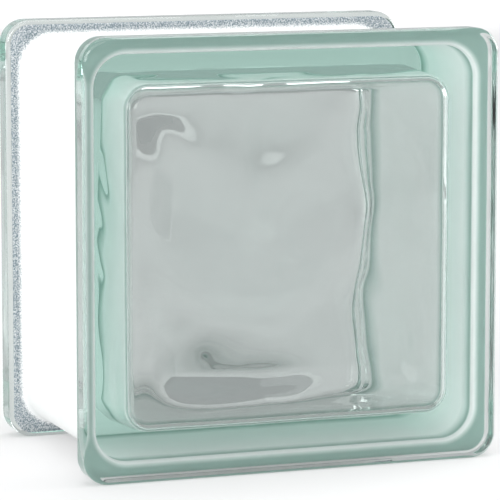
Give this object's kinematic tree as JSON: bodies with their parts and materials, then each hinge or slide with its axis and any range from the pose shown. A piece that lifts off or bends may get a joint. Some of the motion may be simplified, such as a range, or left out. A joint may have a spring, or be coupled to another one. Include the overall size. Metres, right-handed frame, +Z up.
{
  "type": "hollow glass block",
  "caption": "Square hollow glass wall block with soft waves inside its faces and a white-coated mortar channel round its edge.",
  "frame": {"origin": "middle of the footprint, on the floor the block stands on", "axes": "+X to the right seen from the front face, +Y from the front face to the back face through the depth, +Z up"},
  "size_m": [0.146, 0.098, 0.146],
  "materials": {
    "glass": "clear pressed glass with a pale green tint",
    "edge_coating": "thin matt white coating"
  },
  "bodies": {
    "root": {"front_shell": "glass", "back_shell": "glass", "edge_coating": "edge_coating"}
  },
  "joints": []
}
